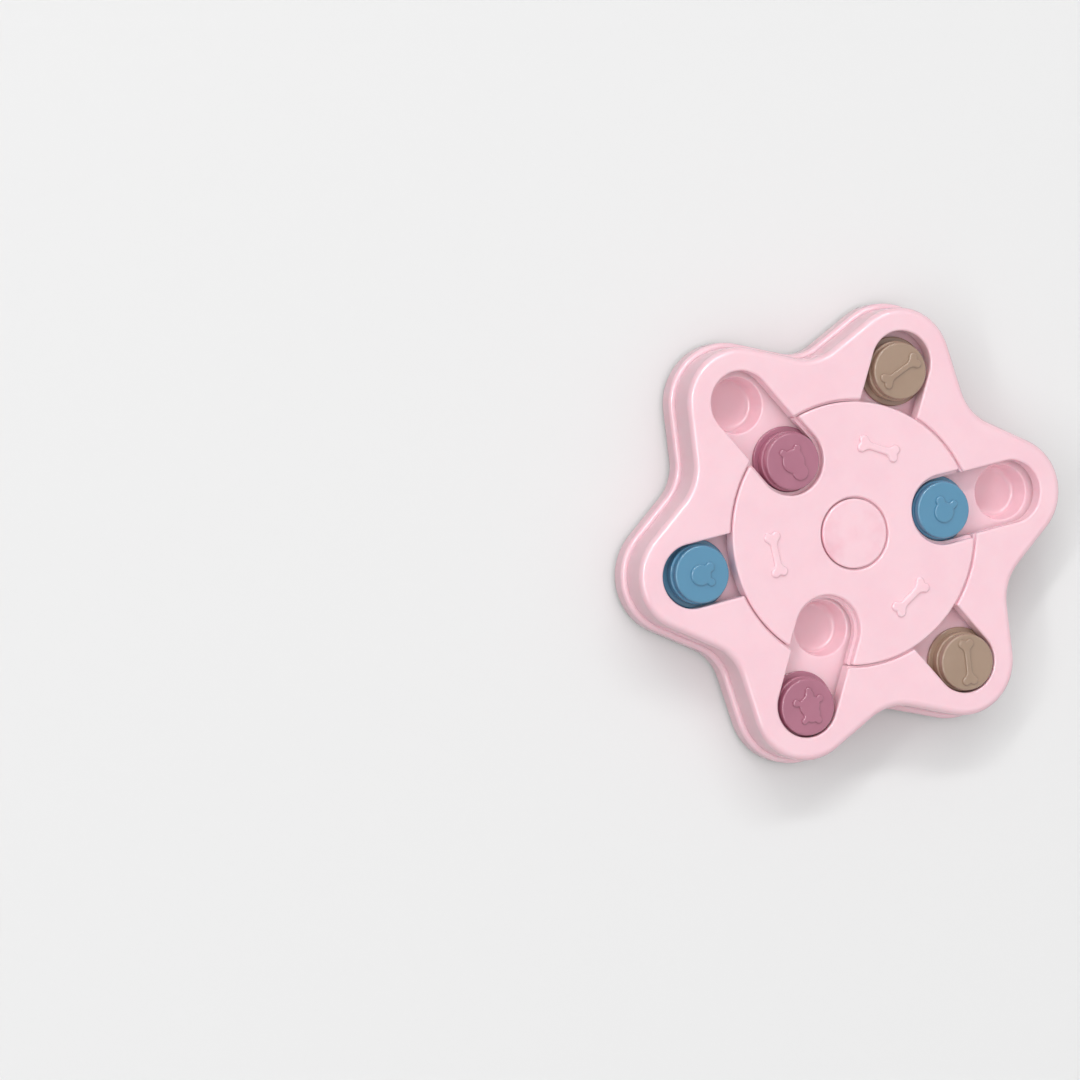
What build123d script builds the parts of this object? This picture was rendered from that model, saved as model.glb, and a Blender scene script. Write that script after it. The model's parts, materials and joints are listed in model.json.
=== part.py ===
from build123d import *
import os
from math import acos, atan2, cos, degrees, pi, radians, sin, sqrt

# Dog puzzle feeder: a six-lobed treat tray under a cover with six tracks, a turntable with
# three slots in the middle, and six pucks that slide over the treat wells.
# Millimetres, +Z up, origin at the centre of the footprint on the surface it stands on.
# Track 1 runs out along +X and the others follow anticlockwise, 60 degrees apart.

# ---------------------------------------------------------------- driving sizes

TRACKS = 6
TRACK_STEP = 360 / TRACKS
SLOTS = 3                 # slots in the turntable

# Plan shape of the cover: lobes and valleys are arcs joined by straight tangents.
lobe_centre = 92.0        # also where the tracks' round ends are centred
lobe_radius = 28.6
valley_centre = 120.0
valley_radius = 27.0

# Heights above the ground
rim_foot = 2.0            # underside of the tray's rim
rim_top = 12.6            # top of the tray's stepped rim
floor_top = 22.2          # the tracks' floor
face_top = 33.0           # top face of cover, turntable and hub cap

# Tray walls
rim_step = 2.7            # how far the rim stands out from the cover
rim_wall = 2.0
rim_top_round = 2.6
rim_foot_round = 0.8
tray_floor = 2.2
spigot_wall = 1.8         # tray wall that locates inside the cover
spigot_rise = 3.6         # how far that wall stands above the floor
spigot_clearance = 0.15

# Cover walls
seam_gap = 0.35           # shadow line between rim and cover
cover_wall = 2.4
cover_edge_round = 4.0    # soft outer edge
plate = 2.8               # top plate of cover and turntable
skirt_wall = 1.6          # walls that hang round slots and openings
face_edge_round = 1.2     # edges of slots and openings
corner_round = 1.2        # plan corners where slots meet the turntable

# Tracks
slot_half = 16.5
puck_headroom = 0.3       # between a puck's flange and the skirts above it
stop_play = 0.15          # gap left at each end of a puck's travel
pass_gap = 0.3            # between two pucks that pass each other as the turntable turns

# Turntable
turntable_radius = 68.0
turntable_gap = 1.2       # groove between turntable and cover
groove_depth = 2.2        # of the grooves round turntable and hub cap, down to their shelves
turntable_clearance = 0.3 # running gap at those shelves
turntable_slot_half = 16.6
turntable_slot_end = 52.0
ledge_width = 1.6         # step round each of its slots
ledge_depth = 4.5
bone_ring_radius = 45.6
bone_length = 23.4
bone_knob_radius = 2.5
bone_knob_offset = 2.1
bone_shaft = 3.8
bone_flare = 4.0          # hollow corners where the shaft widens into the knobs
bone_notch = 0.8          # hollow corners between two knobs
bone_height = 1.4
bone_round = 1.15

# Pucks
puck_cap_radius = 14.7
puck_cap_height = 5.0     # from the cap's top down to its collar
puck_cap_round = 1.1
puck_collar_radius = 15.6
puck_collar_round = 0.8
puck_flange_radius = 18.0
puck_flange = 1.8
puck_flange_round = 0.7
puck_proud = 1.2          # cap top above the face
puck_lift = 0.2           # running gap over the floor
puck_wall = 2.0
puck_top = 2.4
mark_height = 1.3
mark_round = 1.0
toe_blend = 0.8           # hollow corners between pad and toes

# Treat wells
well_mouth_radius = 14.6
well_foot_radius = 12.6
well_depth = 11.5
well_wall = 1.8
well_lip_round = 1.0
well_foot_round = 3.2
inner_well_inset = 0.8    # inner wells lie this far inside the turntable slots' ends
outer_well_inset = 1.6    # outer wells lie this far inside the tracks' ends

# Hub
hub_post_radius = 12.0
hub_running_clearance = 0.05
hub_shoulder_width = 5.0  # step round the post that carries the turntable
hub_shoulder_gap = 0.2
hub_hole_radius = 18.9
hub_cap_groove = 0.9      # groove between hub cap and turntable
hub_cap_height = 4.0
hub_cap_skin = 2.4
hub_cap_gap = 0.3         # running gap over the ledge that the cap traps
hub_stem_radius = 5.0
hub_stem_clearance = 0.15
hub_stem_length = 15.0
hub_web = 2.4             # web that the hub screw clamps
hub_boss_wall = 2.0
gate_mark_radius = 1.1    # small moulding mark in the middle of the cap
gate_mark_depth = 0.15

# Ribs, bosses and screws under the tray
rib_wall = 1.6
rib_depth = 15.2
boss_radius = 4.5
boss_depth = 12.2         # how far the screw tubes reach down from the tracks' floor
boss_bore_radius = 3.7
screw_shank_radius = 1.5
screw_hole_radius = 1.75
screw_head_radius = 3.2
screw_head = 2.2
screw_head_round = 0.8
screw_length = 8.0
pilot_radius = 1.55
pilot_spare = 1.5
drive_width = 0.7         # cross recess in the screw heads
drive_span = 3.0
drive_depth = 1.2
washer_radius = 4.4
washer_thickness = 0.8

# Push-in rubber feet under the outer wells
foot_radius = 9.5
foot_proud = 2.4
foot_round = 0.8
foot_plug_radius = 8.0
foot_plug_length = 3.4
foot_plug_clearance = 0.1

# ---------------------------------------------------------------- sizes that follow

slot_end = lobe_centre
opening_radius = turntable_radius + turntable_gap
shelf_radius = turntable_radius + turntable_clearance
plate_underside = face_top - plate
cover_foot = rim_top + seam_gap
spigot_inset = cover_wall + spigot_clearance
inner_well_centre = turntable_slot_end - inner_well_inset
outer_well_centre = slot_end - outer_well_inset
well_taper = degrees(atan2(well_mouth_radius - well_foot_radius, well_depth))
cup_foot = floor_top - well_depth - well_wall

puck_foot = floor_top + puck_lift
flange_top = puck_foot + puck_flange
skirt_foot = flange_top + puck_headroom
cap_top = face_top + puck_proud
collar_top = cap_top - puck_cap_height

hub_post_top = face_top - hub_cap_height
hub_shoulder_top = skirt_foot - hub_shoulder_gap
hub_web_top = hub_post_top - hub_stem_length
hub_bore_radius = hub_stem_radius + hub_stem_clearance
hub_cap_radius = hub_hole_radius - hub_cap_groove
hub_shelf_radius = hub_cap_radius + turntable_clearance
washer_foot = hub_web_top - hub_web - washer_thickness

rib_foot = floor_top - rib_depth
ring_rib_radius = (inner_well_centre + outer_well_centre) / 2
boss_foot = floor_top - boss_depth
boss_tube_radius = boss_bore_radius + rib_wall
valley_inside = valley_centre - valley_radius - spigot_inset - spigot_wall
case_screw_circle = (opening_radius + skirt_wall + valley_inside) / 2
foot_tube_bore = foot_plug_radius + foot_plug_clearance

# Puck places, from the toy's centre to the puck's axis: the ends of the travel, the stop at
# the turntable's rim, and the innermost place that lets the pucks in the turntable pass.
travel_in = turntable_slot_end - (turntable_slot_half - puck_collar_radius) + stop_play
travel_out = slot_end + (slot_half - puck_collar_radius) - stop_play
rim_stop = turntable_radius + puck_collar_radius + stop_play
passing_place = max(rim_stop, travel_in + 2 * puck_flange_radius + pass_gap)


# ---------------------------------------------------------------- plan shapes


def rounded_star(points, tip_centre, tip_radius, dip_centre, dip_radius, grow=0.0):
    """A star of round tips and dips joined by their common tangents, grown outwards by grow."""
    tip_r = tip_radius + grow
    dip_r = dip_radius - grow
    half = pi / points
    apart = sqrt(tip_centre**2 + dip_centre**2 - 2 * tip_centre * dip_centre * cos(half))
    lean = acos((tip_r + dip_r) / apart)
    heading = acos((dip_centre * cos(half) - tip_centre) / apart)
    across = heading - lean

    def at(turn, x, y):
        return (x * cos(turn) - y * sin(turn), x * sin(turn) + y * cos(turn))

    leave = (tip_centre + tip_r * cos(across), tip_r * sin(across))
    dip = (dip_centre * cos(half), dip_centre * sin(half))
    meet = (dip[0] - dip_r * cos(across), dip[1] - dip_r * sin(across))
    low = dip_centre - dip_r
    with BuildSketch() as star:
        with BuildLine():
            for k in range(points):
                turn = 2 * k * half
                tip_start = at(turn, leave[0], -leave[1])
                tip_end = at(turn, *leave)
                dip_start = at(turn, *meet)
                dip_end = at(turn + 2 * half, meet[0], -meet[1])
                next_tip = at(turn + 2 * half, leave[0], -leave[1])
                ThreePointArc(tip_start, at(turn, tip_centre + tip_r, 0), tip_end)
                Line(tip_end, dip_start)
                ThreePointArc(dip_start, at(turn + half, low, 0), dip_end)
                Line(dip_end, next_tip)
        make_face()
    return star.sketch


def body_outline(grow=0.0):
    """The toy's own outline; grow is measured outwards from the cover's wall."""
    return rounded_star(TRACKS, lobe_centre, lobe_radius, valley_centre, valley_radius, grow)


def bone(length, knob_radius, knob_offset, shaft):
    """A plain bone: a shaft that flares into two round knobs at each end."""
    reach = length / 2 - knob_radius
    with BuildSketch() as shape:
        Rectangle(2 * reach, shaft)
        for end in (-reach, reach):
            with Locations((end, knob_offset), (end, -knob_offset)):
                Circle(knob_radius)
        fillet(shape.vertices().filter_by(lambda corner: abs(corner.Y) > 0.01), bone_flare)
        fillet(shape.vertices().filter_by(lambda corner: abs(corner.Y) < 0.01), bone_notch)
    return shape.sketch


def paw(lobes):
    """A pad and its toes run together, each a radius, distance and direction from the cap's middle."""
    with BuildSketch() as shape:
        for lobe, distance, direction in lobes:
            with PolarLocations(distance, 1, start_angle=direction):
                Circle(lobe)
        fillet(shape.vertices(), toe_blend)
    return shape.sketch


def meets(radius):
    """A test for the plan corners that lie on a circle of this radius."""
    return lambda corner: abs(Vector(corner.X, corner.Y, 0).length - radius) < 0.01


def cover_slots(radius, half_width):
    """The round opening with six tracks that end in half circles."""
    with BuildSketch() as plan:
        Circle(radius)
        with PolarLocations((turntable_slot_end + slot_end) / 2, TRACKS):
            SlotCenterToCenter(slot_end - turntable_slot_end, 2 * half_width)
    return plan.sketch


def cover_opening(radius):
    """The opening with its tracks, with round plan corners."""
    with BuildSketch() as plan:
        add(cover_slots(radius, slot_half))
        fillet(plan.vertices().filter_by(meets(radius)), corner_round)
    return plan.sketch


def turntable_slots(half_width):
    """Three slots that run from the turntable's inner slot ends out past its rim."""
    reach = turntable_radius - turntable_slot_end + half_width
    with BuildSketch() as plan:
        with PolarLocations(turntable_slot_end + reach, SLOTS):
            SlotCenterToCenter(2 * reach, 2 * half_width)
    return plan.sketch


def turntable_plan(half_width):
    """The turntable's outline with its three slots open at the rim."""
    with BuildSketch() as plan:
        Circle(turntable_radius)
        add(turntable_slots(half_width), mode=Mode.SUBTRACT)
        fillet(plan.vertices().filter_by(meets(turntable_radius)), corner_round)
    return plan.sketch


spigot_outline = body_outline(-spigot_inset)
spigot_inside = body_outline(-spigot_inset - spigot_wall)
disc_bone = bone(bone_length, bone_knob_radius, bone_knob_offset, bone_shaft)

with BuildPart() as well_space:
    with Locations((0, 0, -well_depth / 2)):
        Cone(bottom_radius=well_foot_radius, top_radius=well_mouth_radius, height=well_depth)
    fillet(well_space.edges().sort_by(Axis.Z)[0], well_foot_round)

# ---------------------------------------------------------------- base tray

with BuildPart() as base_tray:
    # stepped rim
    with BuildSketch(Plane.XY.offset(rim_foot)):
        add(body_outline(rim_step))
    extrude(amount=rim_top - rim_foot)
    fillet(base_tray.edges().group_by(Axis.Z)[-1], rim_top_round)
    fillet(base_tray.edges().group_by(Axis.Z)[0], rim_foot_round)
    with BuildSketch(Plane.XY.offset(rim_foot)):
        add(body_outline(rim_step - rim_wall))
    extrude(amount=rim_top - rim_wall - rim_foot, mode=Mode.SUBTRACT)
    with BuildSketch(Plane.XY.offset(rim_top - rim_wall)):
        add(spigot_inside)
    extrude(amount=rim_wall, mode=Mode.SUBTRACT)
    # wall that locates inside the cover, and the floor across it
    with BuildSketch(Plane.XY.offset(rim_top - rim_wall)):
        add(spigot_outline)
        add(spigot_inside, mode=Mode.SUBTRACT)
    extrude(amount=floor_top + spigot_rise - rim_top + rim_wall)
    with BuildSketch(Plane.XY.offset(floor_top - tray_floor)):
        add(spigot_outline)
    extrude(amount=tray_floor)
    # cups round the treat wells
    for well_centre in (inner_well_centre, outer_well_centre):
        with BuildSketch(Plane.XY.offset(cup_foot)):
            with PolarLocations(well_centre, TRACKS):
                Circle(well_foot_radius + well_wall)
        extrude(amount=well_depth + well_wall, taper=-well_taper)
    # hub post, the shoulder that carries the turntable, and the boss below
    with BuildSketch(Plane.XY.offset(floor_top)):
        Circle(hub_post_radius + hub_shoulder_width)
    extrude(amount=hub_shoulder_top - floor_top)
    with BuildSketch(Plane.XY.offset(floor_top)):
        Circle(hub_post_radius)
    extrude(amount=hub_post_top - floor_top)
    with BuildSketch(Plane.XY.offset(rib_foot)):
        Circle(hub_bore_radius + hub_boss_wall)
    extrude(amount=rib_depth)
    # ribs
    with BuildSketch(Plane.XY.offset(rib_foot)):
        Circle(ring_rib_radius + rib_wall / 2)
        Circle(ring_rib_radius - rib_wall / 2, mode=Mode.SUBTRACT)
        with PolarLocations(case_screw_circle / 2, TRACKS, start_angle=TRACK_STEP / 2):
            Rectangle(case_screw_circle, rib_wall)
    extrude(amount=rib_depth - tray_floor / 2)
    # tubes round the case screws, and tubes that hold the feet
    with BuildSketch(Plane.XY.offset(boss_foot)):
        with PolarLocations(case_screw_circle, TRACKS, start_angle=TRACK_STEP / 2):
            Circle(boss_tube_radius)
    extrude(amount=boss_depth)
    with BuildSketch(Plane.XY.offset(foot_proud)):
        with PolarLocations(outer_well_centre, TRACKS):
            Circle(foot_radius)
            Circle(foot_tube_bore, mode=Mode.SUBTRACT)
    extrude(amount=cup_foot + well_wall / 2 - foot_proud)
    # treat wells
    for well_centre in (inner_well_centre, outer_well_centre):
        with Locations((0, 0, floor_top)):
            with PolarLocations(well_centre, TRACKS):
                add(well_space.part, mode=Mode.SUBTRACT)
    mouths = base_tray.edges().filter_by(GeomType.CIRCLE).filter_by(
        lambda edge: abs(edge.radius - well_mouth_radius) < 0.01
        and abs(edge.center().Z - floor_top) < 0.01
    )
    fillet(mouths, well_lip_round)
    # bores for the hub cap's stem, the hub screw and the case screws
    with BuildSketch(Plane.XY.offset(hub_web_top)):
        Circle(hub_bore_radius)
    extrude(amount=hub_stem_length, mode=Mode.SUBTRACT)
    with BuildSketch(Plane.XY.offset(rib_foot)):
        Circle(hub_bore_radius)
    extrude(amount=hub_web_top - hub_web - rib_foot, mode=Mode.SUBTRACT)
    with BuildSketch(Plane.XY.offset(rib_foot)):
        Circle(screw_hole_radius)
        with PolarLocations(case_screw_circle, TRACKS, start_angle=TRACK_STEP / 2):
            Circle(screw_hole_radius)
    extrude(amount=rib_depth, mode=Mode.SUBTRACT)
    with BuildSketch(Plane.XY.offset(rib_foot)):
        with PolarLocations(case_screw_circle, TRACKS, start_angle=TRACK_STEP / 2):
            Circle(boss_bore_radius)
    extrude(amount=rib_depth - tray_floor, mode=Mode.SUBTRACT)
base_tray.part.label = "base_tray"

# ---------------------------------------------------------------- top cover

with BuildPart() as top_cover:
    with BuildSketch(Plane.XY.offset(cover_foot)):
        add(body_outline())
    extrude(amount=face_top - cover_foot)
    fillet(top_cover.edges().group_by(Axis.Z)[-1], cover_edge_round)
    with BuildSketch(Plane.XY.offset(cover_foot)):
        add(body_outline(-cover_wall))
    extrude(amount=plate_underside - cover_foot, mode=Mode.SUBTRACT)
    # skirts round the tracks, and bosses for the case screws
    with BuildSketch(Plane.XY.offset(skirt_foot)):
        add(cover_slots(shelf_radius + skirt_wall, slot_half + skirt_wall))
    extrude(amount=plate_underside - skirt_foot)
    with BuildSketch(Plane.XY.offset(floor_top)):
        with PolarLocations(case_screw_circle, TRACKS, start_angle=TRACK_STEP / 2):
            Circle(boss_radius)
    extrude(amount=plate_underside - floor_top)
    # the opening with its six tracks, wider above the shelf round the turntable
    with BuildSketch(Plane.XY.offset(skirt_foot)):
        add(cover_opening(shelf_radius))
    extrude(amount=face_top - skirt_foot, mode=Mode.SUBTRACT)
    with BuildSketch(Plane.XY.offset(face_top - groove_depth)):
        add(cover_opening(opening_radius))
    extrude(amount=groove_depth, mode=Mode.SUBTRACT)
    fillet(top_cover.faces().sort_by(Axis.Z)[-1].inner_wires()[0].edges(), face_edge_round)
    # pilot holes
    with BuildSketch(Plane.XY.offset(floor_top)):
        with PolarLocations(case_screw_circle, TRACKS, start_angle=TRACK_STEP / 2):
            Circle(pilot_radius)
    extrude(amount=screw_length - tray_floor + pilot_spare, mode=Mode.SUBTRACT)
top_cover.part.label = "top_cover"

# ---------------------------------------------------------------- turntable

with BuildPart() as turntable:
    with BuildSketch(Plane.XY.offset(face_top - ledge_depth)):
        add(turntable_plan(turntable_slot_half + ledge_width))
    extrude(amount=ledge_depth)
    with BuildSketch(Plane.XY.offset(skirt_foot)):
        add(turntable_plan(turntable_slot_half))
    extrude(amount=face_top - ledge_depth - skirt_foot)
    # hollow underside: first clear of the ledge, then up to the walls below it
    with BuildSketch(Plane.XY.offset(skirt_foot)):
        Circle(turntable_radius - skirt_wall)
        Circle(hub_hole_radius + skirt_wall, mode=Mode.SUBTRACT)
        add(turntable_slots(turntable_slot_half + ledge_width + skirt_wall), mode=Mode.SUBTRACT)
    extrude(amount=plate_underside - skirt_foot, mode=Mode.SUBTRACT)
    with BuildSketch(Plane.XY.offset(skirt_foot)):
        Circle(turntable_radius - skirt_wall)
        Circle(hub_hole_radius + skirt_wall, mode=Mode.SUBTRACT)
        add(turntable_slots(turntable_slot_half + skirt_wall), mode=Mode.SUBTRACT)
    extrude(amount=face_top - ledge_depth - skirt_wall - skirt_foot, mode=Mode.SUBTRACT)
    # recess for the hub cap with its shelf, and the bore that runs on the post
    with BuildSketch(Plane.XY.offset(hub_post_top - hub_cap_gap)):
        Circle(hub_shelf_radius)
    extrude(amount=hub_cap_height + hub_cap_gap, mode=Mode.SUBTRACT)
    with BuildSketch(Plane.XY.offset(face_top - groove_depth)):
        Circle(hub_hole_radius)
    extrude(amount=groove_depth, mode=Mode.SUBTRACT)
    with BuildSketch(Plane.XY.offset(skirt_foot)):
        Circle(hub_post_radius + hub_running_clearance)
    extrude(amount=face_top - skirt_foot, mode=Mode.SUBTRACT)
    fillet(turntable.faces().sort_by(Axis.Z)[-1].edges(), face_edge_round)
    # raised bones
    with BuildSketch(Plane.XY.offset(face_top)):
        with PolarLocations(bone_ring_radius, SLOTS, start_angle=TRACK_STEP):
            with Locations(Location((0, 0, 0), (0, 0, 90))):
                add(disc_bone)
    extrude(amount=bone_height)
    fillet(turntable.edges().group_by(Axis.Z)[-1], bone_round)
turntable.part.label = "turntable"

# ---------------------------------------------------------------- hub cap

with BuildPart() as hub_cap:
    with BuildSketch(Plane.XY.offset(hub_post_top)):
        Circle(hub_cap_radius)
    extrude(amount=hub_cap_height)
    fillet(hub_cap.edges().group_by(Axis.Z)[-1], face_edge_round)
    # hollow underside, left solid where it sits on the post
    with BuildSketch(Plane.XY.offset(hub_post_top)):
        Circle(hub_cap_radius - skirt_wall)
        Circle(hub_post_radius, mode=Mode.SUBTRACT)
    extrude(amount=hub_cap_height - hub_cap_skin, mode=Mode.SUBTRACT)
    # stem down to the web, with a pilot hole for the hub screw
    with BuildSketch(Plane.XY.offset(hub_web_top)):
        Circle(hub_stem_radius)
    extrude(amount=hub_stem_length)
    with BuildSketch(Plane.XY.offset(hub_web_top)):
        Circle(pilot_radius)
    extrude(amount=screw_length - hub_web + pilot_spare, mode=Mode.SUBTRACT)
    with BuildSketch(Plane.XY.offset(face_top)):
        Circle(gate_mark_radius)
    extrude(amount=-gate_mark_depth, mode=Mode.SUBTRACT)
hub_cap.part.label = "hub_cap"

# ---------------------------------------------------------------- pucks


def make_puck(name, track, place, mark, mark_turn):
    """A sliding puck on its track: a hollow stepped moulding, open below, with a raised mark."""
    turn = radians((track - 1) * TRACK_STEP)
    centre = Plane(origin=(place * cos(turn), place * sin(turn), 0))
    with BuildPart() as puck:
        with BuildSketch(centre.offset(puck_foot)):
            Circle(puck_flange_radius)
        extrude(amount=puck_flange)
        fillet(puck.edges().group_by(Axis.Z)[-1], puck_flange_round)
        with BuildSketch(centre.offset(puck_foot)):
            Circle(puck_collar_radius)
        extrude(amount=collar_top - puck_foot)
        fillet(puck.edges().group_by(Axis.Z)[-1], puck_collar_round)
        with BuildSketch(centre.offset(puck_foot)):
            Circle(puck_cap_radius)
        extrude(amount=cap_top - puck_foot)
        fillet(puck.edges().group_by(Axis.Z)[-1], puck_cap_round)
        with BuildSketch(centre.offset(puck_foot)):
            Circle(puck_cap_radius - puck_wall)
        extrude(amount=cap_top - puck_top - puck_foot, mode=Mode.SUBTRACT)
        with BuildSketch(centre.offset(cap_top)):
            with Locations(Location((0, 0, 0), (0, 0, mark_turn))):
                add(mark)
        extrude(amount=mark_height)
        fillet(puck.edges().group_by(Axis.Z)[-1], mark_round)
    puck.part.label = name
    return puck


puck_bone = bone(length=24.0, knob_radius=2.3, knob_offset=2.1, shaft=3.2)
eared_paw = paw([(5.5, 1.1, 190), (2.6, 5.3, 36), (2.2, 6.1, -48)])
egg_paw = paw([(6.3, 0.0, 0), (4.4, 6.7, 292), (1.9, 7.3, 132), (2.1, 7.0, 61)])
toed_paw = paw([(5.6, 0.7, 33), (4.7, 3.8, 285), (2.6, 6.2, 74), (1.7, 8.6, 78), (2.0, 7.6, 23),
                (2.0, 7.2, 150), (2.0, 8.6, 297), (1.7, 7.6, 240)])

pucks = [
    make_puck("puck_blue_right", 1, travel_in, eared_paw, 65),
    make_puck("puck_taupe_top", 2, passing_place, puck_bone, 21),
    make_puck("puck_mauve_upper_left", 3, travel_in, egg_paw, 0),
    make_puck("puck_blue_left", 4, passing_place, eared_paw, -5),
    make_puck("puck_mauve_lower_left", 5, travel_out, toed_paw, 0),
    make_puck("puck_taupe_lower_right", 6, travel_out, puck_bone, 84),
]

# ---------------------------------------------------------------- screws, washer and feet


def pan_screws(circle, count, head_top, length):
    """Pan-head screws driven from below, standing on a circle with their heads at head_top."""
    head_foot = head_top - screw_head
    with BuildPart() as screws:
        with BuildSketch(Plane.XY.offset(head_foot)):
            with PolarLocations(circle, count, start_angle=TRACK_STEP / 2):
                Circle(screw_head_radius)
        extrude(amount=screw_head)
        fillet(screws.edges().group_by(Axis.Z)[0], screw_head_round)
        with BuildSketch(Plane.XY.offset(head_top)):
            with PolarLocations(circle, count, start_angle=TRACK_STEP / 2):
                Circle(screw_shank_radius)
        extrude(amount=length)
        with BuildSketch(Plane.XY.offset(head_foot)):
            with PolarLocations(circle, count, start_angle=TRACK_STEP / 2):
                Rectangle(drive_span, drive_width)
                Rectangle(drive_width, drive_span)
        extrude(amount=drive_depth, mode=Mode.SUBTRACT)
    return screws


case_screws = pan_screws(case_screw_circle, TRACKS, floor_top - tray_floor, screw_length)
case_screws.part.label = "case_screws"

hub_screw = pan_screws(0, 1, washer_foot, screw_length + washer_thickness)
hub_screw.part.label = "hub_screw"

with BuildPart() as hub_washer:
    with BuildSketch(Plane.XY.offset(washer_foot)):
        Circle(washer_radius)
        Circle(screw_hole_radius, mode=Mode.SUBTRACT)
    extrude(amount=washer_thickness)
hub_washer.part.label = "hub_washer"


def make_foot(number):
    """A push-in rubber foot in the tube under one outer well."""
    turn = radians((number - 1) * TRACK_STEP)
    centre = Plane(origin=(outer_well_centre * cos(turn), outer_well_centre * sin(turn), 0))
    with BuildPart() as foot:
        with BuildSketch(centre):
            Circle(foot_radius)
        extrude(amount=foot_proud)
        fillet(foot.edges().group_by(Axis.Z)[0], foot_round)
        with BuildSketch(centre.offset(foot_proud)):
            Circle(foot_plug_radius)
        extrude(amount=foot_plug_length)
    foot.part.label = f"foot_{number}"
    return foot


feet = [make_foot(number) for number in range(1, TRACKS + 1)]

# ---------------------------------------------------------------- export

os.makedirs("parts", exist_ok=True)
for piece in [base_tray, top_cover, turntable, hub_cap, hub_screw, hub_washer, case_screws, *pucks, *feet]:
    export_step(piece.part, f"parts/{piece.part.label}.step")
    print(f"{piece.part.label}: {len(piece.part.solids())} solids, {piece.part.volume / 1000:.2f} cm3")
print(f"puck places: inner end {travel_in:.2f}, passing {passing_place:.2f}, outer end {travel_out:.2f}")
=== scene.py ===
import json
from math import cos, pi, radians, sin

import bmesh
import bpy
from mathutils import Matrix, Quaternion, Vector


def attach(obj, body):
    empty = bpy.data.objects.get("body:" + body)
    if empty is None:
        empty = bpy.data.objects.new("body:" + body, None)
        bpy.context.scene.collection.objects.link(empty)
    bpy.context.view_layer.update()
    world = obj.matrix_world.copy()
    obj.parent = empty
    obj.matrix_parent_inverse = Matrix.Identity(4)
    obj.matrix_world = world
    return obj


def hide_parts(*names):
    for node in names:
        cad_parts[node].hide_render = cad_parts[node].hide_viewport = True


MM = 0.001

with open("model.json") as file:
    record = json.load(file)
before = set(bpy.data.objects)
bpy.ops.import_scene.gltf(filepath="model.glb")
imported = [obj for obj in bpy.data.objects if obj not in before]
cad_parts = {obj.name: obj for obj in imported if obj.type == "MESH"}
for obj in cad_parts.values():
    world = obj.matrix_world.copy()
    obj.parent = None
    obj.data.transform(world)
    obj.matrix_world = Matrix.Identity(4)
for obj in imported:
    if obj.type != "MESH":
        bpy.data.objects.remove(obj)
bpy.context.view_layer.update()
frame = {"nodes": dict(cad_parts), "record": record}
nodes = frame["nodes"]
scene = bpy.context.scene

# ---------------------------------------------------------------- camera

IMAGE_SIDE = 1080            # pixels, square
FOCAL_PIXELS = 4083.5
SENSOR = 36.0
CLIP_START, CLIP_END = 0.05, 60
CAMERA_PLACE = Vector((-829.5, 238.7, 1957.4)) * MM
CAMERA_AIM = Vector((-168.2, 37.8, 33.0)) * MM
CAMERA_ROLL = -93.3          # degrees about the line of sight


def add_camera():
    data = bpy.data.cameras.new("camera")
    data.sensor_width = SENSOR
    data.lens = FOCAL_PIXELS / IMAGE_SIDE * SENSOR
    data.clip_start, data.clip_end = CLIP_START, CLIP_END
    camera = bpy.data.objects.new("camera", data)
    scene.collection.objects.link(camera)
    level = (CAMERA_AIM - CAMERA_PLACE).to_track_quat("-Z", "Y")
    camera.rotation_mode = "QUATERNION"
    camera.rotation_quaternion = level @ Quaternion((0, 0, 1), radians(-CAMERA_ROLL))
    camera.location = CAMERA_PLACE
    scene.camera = camera


# ---------------------------------------------------------------- shader helpers

MIX_RESULT = 2               # a colour Mix node's third output; its colours go in at 6 and 7


class Tree:
    """Adds nodes to a material or world by type, settings and inputs."""

    def __init__(self, owner):
        owner.use_nodes = True
        self.tree = owner.node_tree
        self.tree.nodes.clear()

    def add(self, kind, settings=None, **inputs):
        """A new node; inputs go by their name, or by number as _0, _1."""
        made = self.tree.nodes.new("ShaderNode" + kind)
        for key, value in (settings or {}).items():
            setattr(made, key, value)
        for key, value in inputs.items():
            socket = made.inputs[int(key[1:])] if key[0] == "_" else made.inputs[key.replace("_", " ")]
            if isinstance(value, Wire):
                self.tree.links.new(value.socket, socket)
            else:
                socket.default_value = value
        return made

    def wire(self, kind, settings=None, output=0, **inputs):
        """A new node's output, by name or by number."""
        return Wire(self, self.add(kind, settings, **inputs).outputs[output])

    def noise(self, place, size, **inputs):
        """Noise whose patches are about as large as size."""
        return self.wire("TexNoise", Vector=place, Scale=1 / size, **inputs)

    def relief(self, height):
        """A normal from a height in metres."""
        return self.wire("Bump", Strength=1.0, Distance=1.0, Height=height)

    def finish(self, surface):
        self.add("OutputMaterial", Surface=surface)

    def seen_share(self):
        """1 where the camera looks, directly or in a reflection, and 0 for light that bounces."""
        rays = self.add("LightPath")
        seen = [Wire(self, rays.outputs[f"Is {kind} Ray"]) for kind in ("Camera", "Glossy", "Transmission")]
        return seen[0] + seen[1] + seen[2]

    def blend(self, share, first, second):
        """A colour that goes from the first to the second as share goes from 0 to 1."""
        mix = self.add("Mix", {"data_type": "RGBA", "clamp_factor": True}, _0=share, _6=first, _7=second)
        return Wire(self, mix.outputs[MIX_RESULT])


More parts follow.
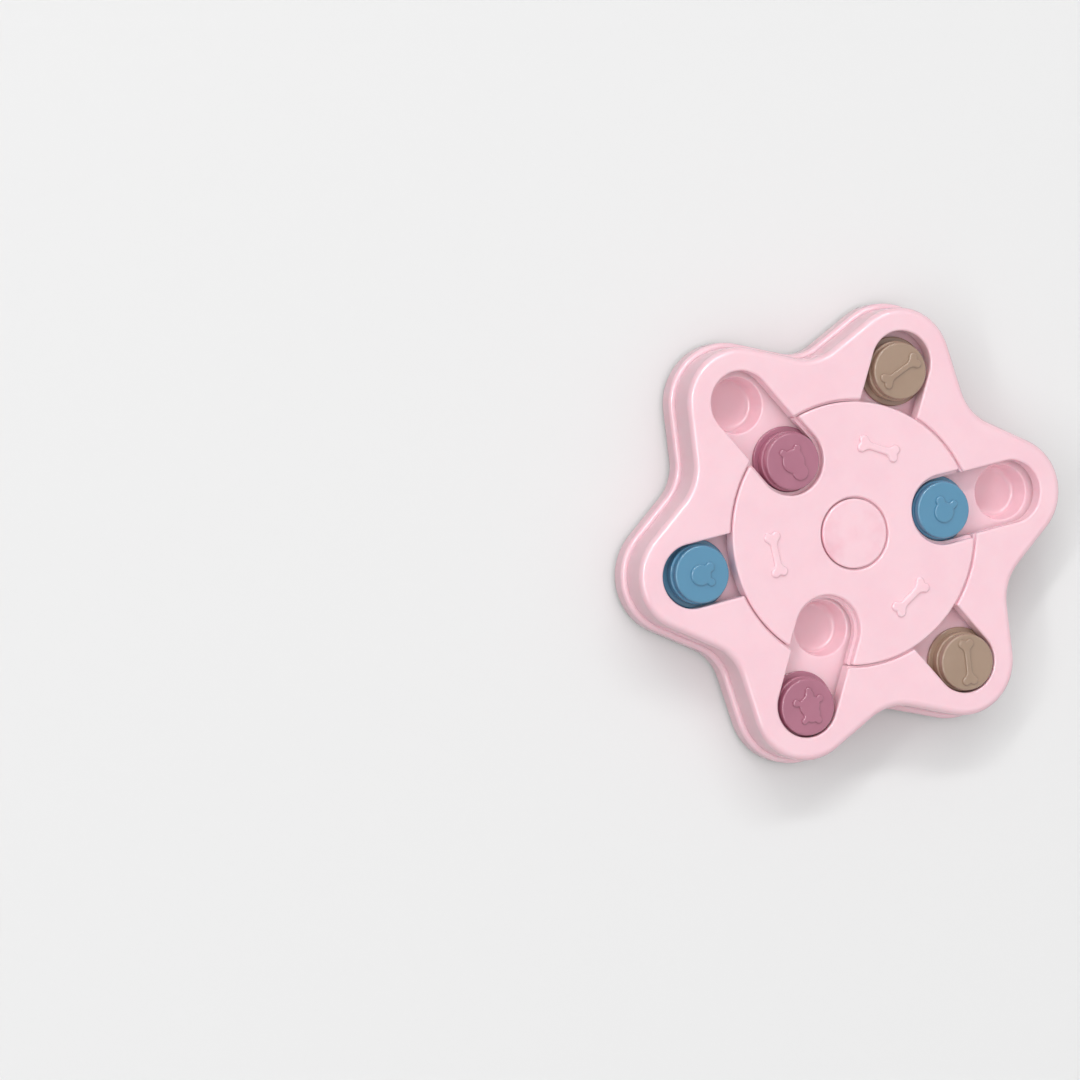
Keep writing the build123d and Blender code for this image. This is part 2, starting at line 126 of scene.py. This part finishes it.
class Wire:
    """An output socket that adds Math nodes when it is used in an expression."""

    def __init__(self, tree, socket):
        self.tree = tree
        self.socket = socket

    def maths(self, operation, first, second):
        return self.tree.wire("Math", {"operation": operation}, _0=first, _1=second)

    def __add__(self, other):
        return self.maths("ADD", self, other)

    def __sub__(self, other):
        return self.maths("SUBTRACT", self, other)

    def __rsub__(self, other):
        return self.maths("SUBTRACT", other, self)

    def __mul__(self, other):
        return self.maths("MULTIPLY", self, other)

    def __pow__(self, other):
        return self.maths("POWER", self, other)

    __radd__ = __add__
    __rmul__ = __mul__

    def fade(self, start, end):
        """0 up to start and 1 from end on, smooth in between."""
        ramp = self.tree.add("MapRange", {"interpolation_type": "SMOOTHSTEP"}, Value=self, From_Min=start,
                             From_Max=end)
        return Wire(self.tree, ramp.outputs[0])


def srgb(code):
    """A colour from its six hex digits, as the shaders want it."""
    shares = [int(code[i:i + 2], 16) / 255 for i in (0, 2, 4)]
    return (*[c / 12.92 if c <= 0.04045 else ((c + 0.055) / 1.055) ** 2.4 for c in shares], 1.0)


# ---------------------------------------------------------------- moulded plastic

CLOUD_SIZE = 22 * MM         # uneven pigment
CLOUD_FADE = 0.35, 0.7       # from no clouding to full clouding, in the noise's own share
SMEAR_SIZE = 7 * MM          # patches of slightly different gloss
SMEAR_ROUGH = 0.06           # how much their roughness differs
WAVE_SIZE = 34 * MM          # slow sink and warp of the moulded faces
WAVE_HEIGHT = 0.05 * MM
GRAIN_SIZE = 0.45 * MM       # spark-eroded mould texture
GRAIN_HEIGHT = 0.001 * MM
GATE_BLUSH = 1.0 * MM, 6.5 * MM     # radii of the blush round the spot where the plastic was injected
GATE_TINT = 0.5
GATE_ROUGH = 0.05
PLASTIC_ROUGH = 0.2
PLASTIC_IOR = 1.49
COAT_ROUGH = 0.08
GLOW_REACH = 1.0, 0.42, 0.5  # how far red, green and blue light spread inside

SHELL_MIX = {"coat": 0.3, "glow": 0.3, "glow_depth": 3.5 * MM}
PUCK_MIX = {"coat": 1.0, "glow": 0.1, "glow_depth": 1.2 * MM}


def moulded_plastic(name, colour, cloud_colour, coat, glow, glow_depth, gate=False):
    """Satin moulded plastic: uneven pigment, fine mould grain, slow waves and a soft glow inside."""
    material = bpy.data.materials.new(name)
    t = Tree(material)
    place = t.wire("TexCoord", output="Object")
    cloud = t.noise(place, CLOUD_SIZE, Detail=3.0, Roughness=0.55)
    smear = t.noise(place, SMEAR_SIZE, Detail=4.0, Roughness=0.6, Distortion=0.6)
    wave = t.noise(place, WAVE_SIZE, Detail=1.0)
    grain = t.noise(place, GRAIN_SIZE, Detail=2.0)
    pigment = t.blend(cloud.fade(*CLOUD_FADE), colour, cloud_colour)
    gloss = smear * SMEAR_ROUGH + (PLASTIC_ROUGH - SMEAR_ROUGH / 2)
    if gate:
        spot = t.add("SeparateXYZ", Vector=place)
        across, along = Wire(t, spot.outputs["X"]), Wire(t, spot.outputs["Y"])
        radius = (across * across + along * along) ** 0.5
        blush = 1 - radius.fade(*GATE_BLUSH)
        pigment = t.blend(blush * smear * GATE_TINT, pigment, cloud_colour)
        gloss = gloss + blush * GATE_ROUGH
    shader = t.wire("BsdfPrincipled", Base_Color=pigment, Roughness=gloss,
                    Normal=t.relief(wave * WAVE_HEIGHT + grain * GRAIN_HEIGHT), IOR=PLASTIC_IOR,
                    Specular_IOR_Level=0.5, Coat_Weight=coat, Coat_Roughness=COAT_ROUGH,
                    Subsurface_Weight=glow, Subsurface_Radius=GLOW_REACH, Subsurface_Scale=glow_depth)
    t.finish(shader)
    return material


# ---------------------------------------------------------------- rubber, zinc and paper

DUST_SIZE = 2.5 * MM
DUST_FADE = 0.5, 0.75
DUST_ROUGH = 0.2
RUBBER_ROUGH = 0.6
RUBBER_GRAIN_SIZE = 0.3 * MM
RUBBER_GRAIN_HEIGHT = 0.012 * MM
STAIN_SIZE = 1.8 * MM        # cloudy patches in the zinc
STAIN_ROUGH = 0.2
ZINC_ROUGH = 0.24
TURNING_SIZE = 0.12 * MM     # marks of the cutting tool
TURNING_HEIGHT = 0.004 * MM


def moulded_rubber(name, colour, dust_colour):
    """Matt rubber with a fine grain and a little dust."""
    material = bpy.data.materials.new(name)
    t = Tree(material)
    place = t.wire("TexCoord", output="Object")
    dust = t.noise(place, DUST_SIZE, Detail=5.0)
    grain = t.noise(place, RUBBER_GRAIN_SIZE, Detail=2.0)
    shader = t.wire("BsdfPrincipled", Base_Color=t.blend(dust.fade(*DUST_FADE), colour, dust_colour),
                    Roughness=dust * DUST_ROUGH + RUBBER_ROUGH,
                    Normal=t.relief(grain * RUBBER_GRAIN_HEIGHT), Specular_IOR_Level=0.3)
    t.finish(shader)
    return material


def zinc_plate(name, colour, stain_colour):
    """Zinc-plated steel: bright, with turning marks and cloudy patches."""
    material = bpy.data.materials.new(name)
    t = Tree(material)
    place = t.wire("TexCoord", output="Object")
    stain = t.noise(place, STAIN_SIZE, Detail=4.0)
    turning = t.noise(place, TURNING_SIZE, Detail=1.0)
    shader = t.wire("BsdfPrincipled", Base_Color=t.blend(stain, colour, stain_colour), Metallic=1.0,
                    Roughness=stain * STAIN_ROUGH + ZINC_ROUGH, Normal=t.relief(turning * TURNING_HEIGHT))
    t.finish(shader)
    return material


def paper_floor(name, colour, bounce_colour):
    """Pale paper that sends less light back on the toy than its colour would."""
    material = bpy.data.materials.new(name)
    t = Tree(material)
    pale = t.wire("BsdfDiffuse", Color=colour)
    dim = t.wire("BsdfDiffuse", Color=bounce_colour)
    t.finish(t.wire("MixShader", _0=t.seen_share(), _1=dim, _2=pale))
    return material


# ---------------------------------------------------------------- finishes

PINK = srgb("F8CFD8")

finishes = {
    "pink_plastic": moulded_plastic("pink_plastic", PINK, srgb("F6CBD5"), **SHELL_MIX),
    "blue_plastic": moulded_plastic("blue_plastic", srgb("4D8AAC"), srgb("4986A8"), **PUCK_MIX),
    "mauve_plastic": moulded_plastic("mauve_plastic", srgb("AC687F"), srgb("A6637A"), **PUCK_MIX),
    "taupe_plastic": moulded_plastic("taupe_plastic", srgb("A28772"), srgb("9D826D"), **PUCK_MIX),
    "rubber_feet": moulded_rubber("rubber_feet", srgb("D8D4D2"), srgb("C6C1BE")),
    "zinc_steel": zinc_plate("zinc_steel", srgb("C4C6CA"), srgb("A9ACB2")),
}
hub_finish = moulded_plastic("pink_plastic_gate", PINK, srgb("F1BDC9"), gate=True, **SHELL_MIX)

# ---------------------------------------------------------------- surfaces

WELD = 0.002 * MM
CREASE = radians(32)         # edges that turn more than this stay sharp


def welded(node):
    """The node's mesh with its triangles joined, smooth over its rounds and sharp at its corners."""
    form = bmesh.new()
    form.from_mesh(nodes[node].data)
    bmesh.ops.remove_doubles(form, verts=form.verts, dist=WELD)
    for face in form.faces:
        face.smooth = True
    for edge in form.edges:
        edge.smooth = len(edge.link_faces) == 2 and edge.calc_face_angle(pi) < CREASE
    mesh = bpy.data.meshes.new(f"{node}_surface")
    form.to_mesh(mesh)
    form.free()
    if "custom_normal" in mesh.attributes:
        mesh.attributes.remove(mesh.attributes["custom_normal"])
    return mesh


def add_surface(node, body, slot):
    """Shows a node as a welded copy in its finish."""
    mesh = welded(node)
    mesh.materials.clear()
    mesh.materials.append(hub_finish if node == "hub_cap" else finishes[slot])
    piece = bpy.data.objects.new(f"{node}_surface", mesh)
    scene.collection.objects.link(piece)
    shading = piece.modifiers.new("flat_faces_lead", "WEIGHTED_NORMAL")
    shading.keep_sharp = True
    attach(piece, body)
    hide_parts(node)


body_of = {node: body for body, members in frame["record"]["behaviour"]["bodies"].items() for node in members}
for row in frame["record"]["subparts"]:
    add_surface(row["node"], body_of[row["node"]], row["material_slot"])

# ---------------------------------------------------------------- studio

FLOOR_SIDE = 40.0
PAPER, PAPER_BOUNCE = srgb("E7E7E7"), srgb("846A70")
ZENITH_LEVEL, HORIZON_LEVEL = 0.84, 0.4
ZENITH_FADE = 0.0, 0.9       # height of the sky's direction, from the horizon's level to the zenith's
SOFTBOX_AWAY, SOFTBOX_WIDTH, SOFTBOX_HEIGHT = 8.0, 6.4, 0.6

# Each softbox's compass angle from +X and height angle in degrees, the brightness of its face, and how many
# times as bright its partner is, which shows only in gloss.
SOFTBOXES = {
    "back": (86, 42, 13.0, 1.2),
    "key": (130, 42, 9.0, 2.6),
    "side": (176, 40, 7.5, 2.6),
}


def add_softbox(name, compass, height, level):
    """A long low softbox that faces the toy; it draws thin bright lines along the rounded edges."""
    data = bpy.data.lights.new(name, "AREA")
    data.shape = "RECTANGLE"
    data.size, data.size_y = SOFTBOX_WIDTH, SOFTBOX_HEIGHT
    data.energy = level * pi * SOFTBOX_WIDTH * SOFTBOX_HEIGHT
    compass, height = radians(compass), radians(height)
    toward = Vector((cos(compass) * cos(height), sin(compass) * cos(height), sin(height)))
    lamp = bpy.data.objects.new(name, data)
    lamp.location = toward * SOFTBOX_AWAY
    lamp.rotation_mode = "QUATERNION"
    lamp.rotation_quaternion = toward.to_track_quat("Z", "Y")
    scene.collection.objects.link(lamp)
    return lamp


def add_lamps():
    """Each softbox, and a partner in its place that only shows as gloss on the toy's edges."""
    for name, (compass, height, level, gloss) in SOFTBOXES.items():
        add_softbox(f"softbox_{name}", compass, height, level)
        partner = add_softbox(f"gloss_{name}", compass, height, level * gloss)
        partner.visible_diffuse = False


def add_world():
    """Soft light all round, stronger from above, behind a backdrop of the floor's colour."""
    world = bpy.data.worlds.new("studio")
    scene.world = world
    t = Tree(world)
    heading = t.wire("TexCoord", output="Generated")
    height = t.wire("SeparateXYZ", output="Z", Vector=heading)
    level = height.fade(*ZENITH_FADE) * (ZENITH_LEVEL - HORIZON_LEVEL) + HORIZON_LEVEL
    light = t.wire("Background", Color=(1, 1, 1, 1), Strength=level)
    paper = t.wire("Background", Color=PAPER, Strength=1.0)
    t.add("OutputWorld", Surface=t.wire("MixShader", _0=t.seen_share(), _1=light, _2=paper))


def add_floor():
    mesh = bpy.data.meshes.new("floor")
    form = bmesh.new()
    bmesh.ops.create_grid(form, x_segments=1, y_segments=1, size=FLOOR_SIDE / 2)
    form.to_mesh(mesh)
    form.free()
    mesh.materials.append(paper_floor("paper", PAPER, PAPER_BOUNCE))
    floor = bpy.data.objects.new("floor", mesh)
    scene.collection.objects.link(floor)


add_camera()
add_world()
add_floor()
add_lamps()
scene.view_settings.view_transform = "Standard"
